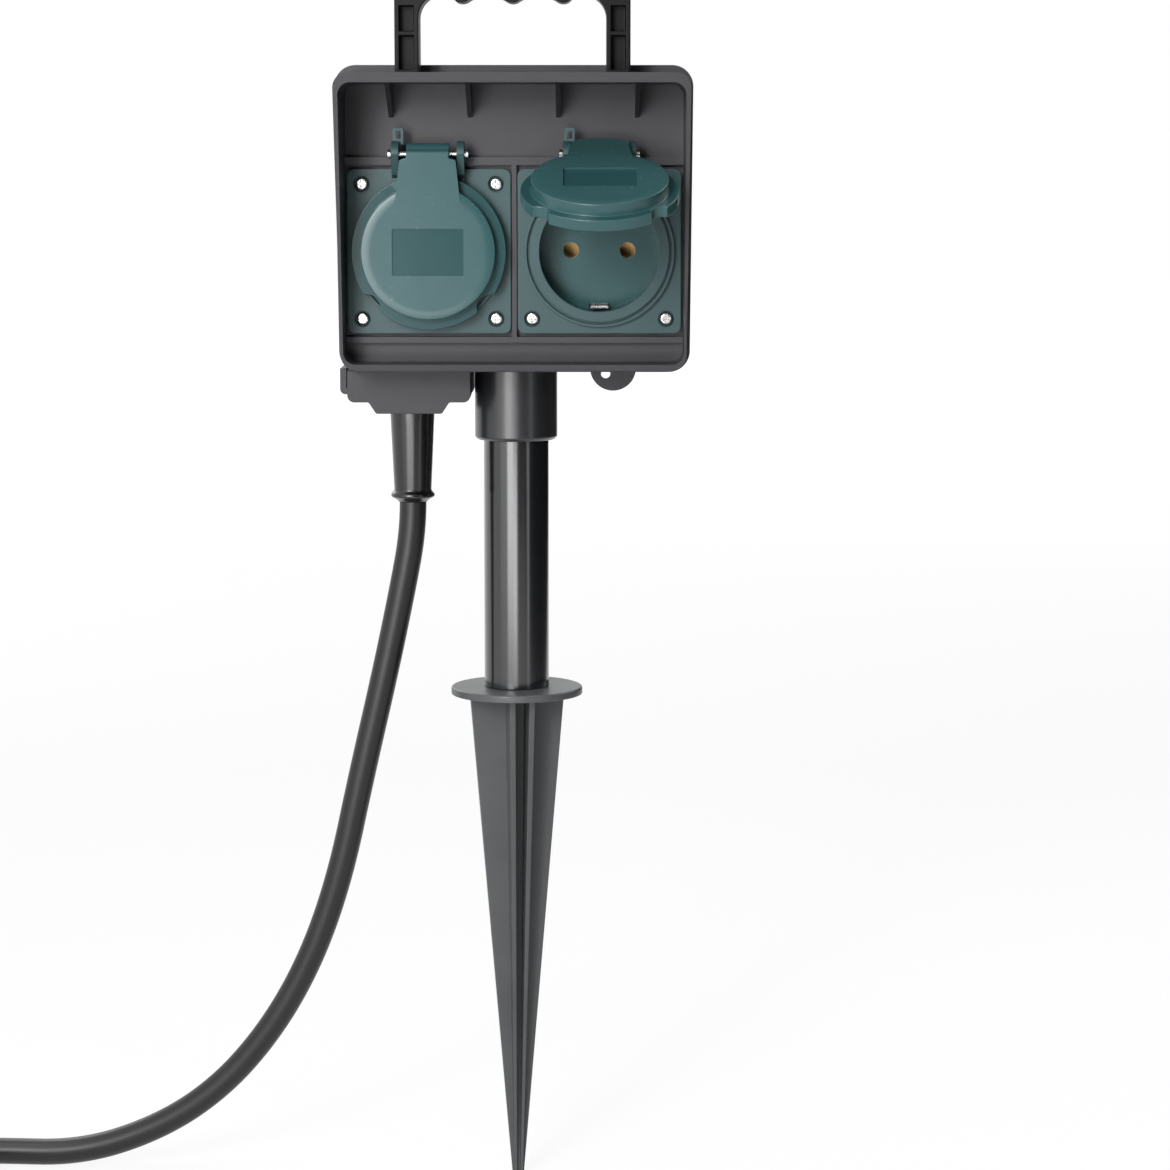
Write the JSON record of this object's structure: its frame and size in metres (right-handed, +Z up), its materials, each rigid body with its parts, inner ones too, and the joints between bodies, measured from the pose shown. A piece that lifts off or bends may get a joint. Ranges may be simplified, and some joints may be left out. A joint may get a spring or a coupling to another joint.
{
  "type": "garden socket spike",
  "caption": "Garden power outlet on a ground spike: two lidded earthed sockets under a hood, carry handle, pole, cable entry and a coiled supply cord with a plug.",
  "frame": {"origin": "centre of the disc's underside, where the spike enters the ground", "axes": "+X to the viewer's right as one faces the sockets, +Y to the back, +Z up the pole"},
  "size_m": [0.3518, 0.1646, 0.421],
  "materials": {
    "housing_plastic": "fine satin",
    "handle_plastic": "satin",
    "spike_plastic": "satin",
    "pole_plastic": "glossy",
    "socket_plastic": "satin",
    "well_plastic": "satin",
    "seal_rubber": "matt",
    "cord_rubber": "satin",
    "bright_steel": "bright nickel plate",
    "contact_brass": "plain",
    "live_sheath": "satin",
    "neutral_sheath": "satin",
    "earth_sheath": "satin"
  },
  "bodies": {
    "spike": {"ground_spike": "spike_plastic"},
    "head": {"pole_tube": "pole_plastic", "pole_collar": "pole_plastic", "rear_shell": "housing_plastic", "housing_seal": "seal_rubber", "front_frame": "housing_plastic", "carry_handle": "handle_plastic", "housing_screws": "bright_steel", "cable_entry_cover": "housing_plastic", "cable_entry_back": "housing_plastic", "cover_screws": "bright_steel", "cord_boot": "cord_rubber", "cord_clamp": "handle_plastic", "clamp_screws": "bright_steel", "terminal_block": "handle_plastic", "block_screws": "bright_steel", "neutral_lead": "neutral_sheath", "earth_lead": "earth_sheath", "live_lead": "live_sheath", "cord_in_boot": "cord_rubber", "supply_cord": "cord_rubber", "cord_coil": "cord_rubber", "cord_tail": "cord_rubber", "cord_tie": "cord_rubber", "plug_body": "cord_rubber", "plug_pins": "bright_steel", "plug_earth_strips": "bright_steel", "flange_gasket_left": "seal_rubber", "socket_flange_left": "socket_plastic", "well_insert_left": "socket_plastic", "contact_carrier_left": "well_plastic", "earth_clip_left": "bright_steel", "contacts_left": "contact_brass", "terminal_screws_left": "bright_steel", "flange_screws_left": "bright_steel", "hinge_pin_left": "bright_steel", "lid_spring_left": "bright_steel", "flange_gasket_right": "seal_rubber", "socket_flange_right": "socket_plastic", "well_insert_right": "socket_plastic", "contact_carrier_right": "well_plastic", "earth_clip_right": "bright_steel", "contacts_right": "contact_brass", "terminal_screws_right": "bright_steel", "flange_screws_right": "bright_steel", "hinge_pin_right": "bright_steel", "lid_spring_right": "bright_steel"},
    "left_lid": {"lid_left": "socket_plastic", "lid_seal_left": "seal_rubber"},
    "right_lid": {"lid_right": "socket_plastic", "lid_seal_right": "seal_rubber"}
  },
  "joints": [
    {"name": "pole_turn", "type": "hinge", "parent": "spike", "child": "head", "pos_m": [0, 0, 0.0026], "axis": [0, 0, 1], "range_deg": [-180, 180]},
    {"name": "lid_left_hinge", "type": "hinge", "parent": "head", "child": "left_lid", "pos_m": [-0.02815, -0.028, 0.1836], "axis": [-1, 0, 0], "range_deg": [0, 95], "stiffness_Nm_per_rad": 0.005, "springref_deg": -20.05, "deforming": ["lid_spring_left"]},
    {"name": "lid_right_hinge", "type": "hinge", "parent": "head", "child": "right_lid", "pos_m": [0.02815, -0.028, 0.1836], "axis": [-1, 0, 0], "range_deg": [-68, 27], "stiffness_Nm_per_rad": 0.005, "springref_deg": -88.06, "deforming": ["lid_spring_right"]}
  ]
}
